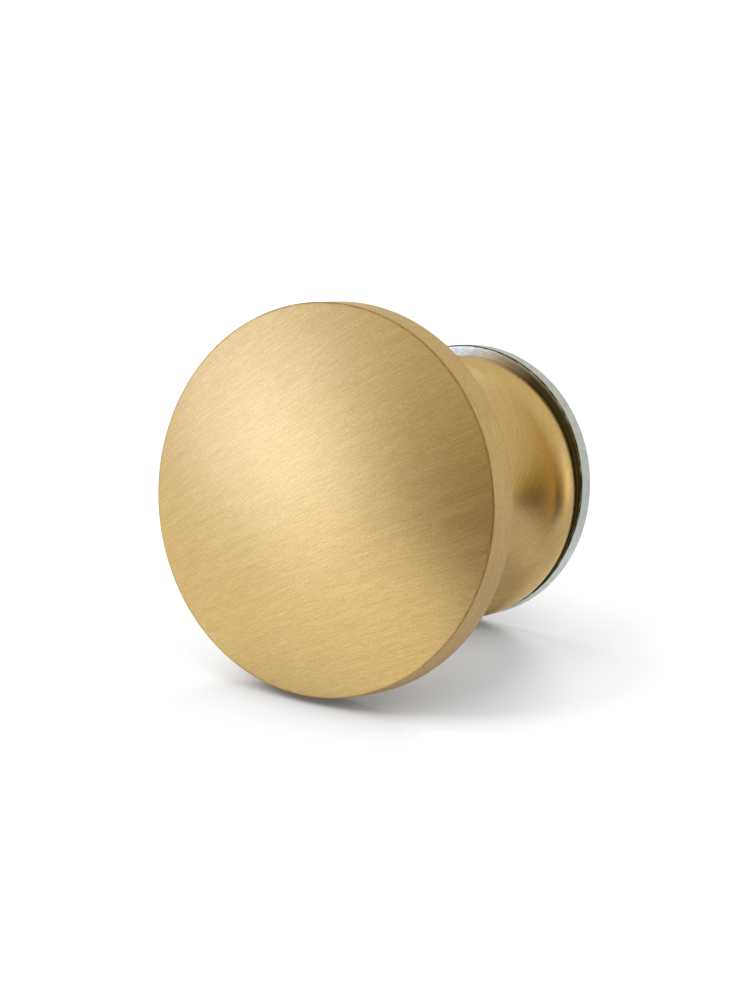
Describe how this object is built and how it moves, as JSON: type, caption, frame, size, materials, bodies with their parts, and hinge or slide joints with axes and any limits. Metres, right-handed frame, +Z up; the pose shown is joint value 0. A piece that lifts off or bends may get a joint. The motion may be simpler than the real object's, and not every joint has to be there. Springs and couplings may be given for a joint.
{
  "type": "cabinet knob",
  "caption": "Round mushroom cabinet knob in brushed brass: shallow domed head, flat rim, hollow curved neck, round foot and a steel washer behind it.",
  "frame": {"origin": "centre of the back face, on the knob's axis, where the washer meets the cabinet front", "axes": "+Y along the knob's axis into the cabinet front, so the domed head faces -Y; +Z up as mounted; +X to the right of someone facing the head"},
  "size_m": [0.034, 0.0284, 0.034],
  "materials": {
    "brass": "satin brushed",
    "zinc_plate": "bright zinc plate on stamped steel"
  },
  "bodies": {
    "root": {"knob_body": "brass", "washer": "zinc_plate"}
  },
  "joints": []
}
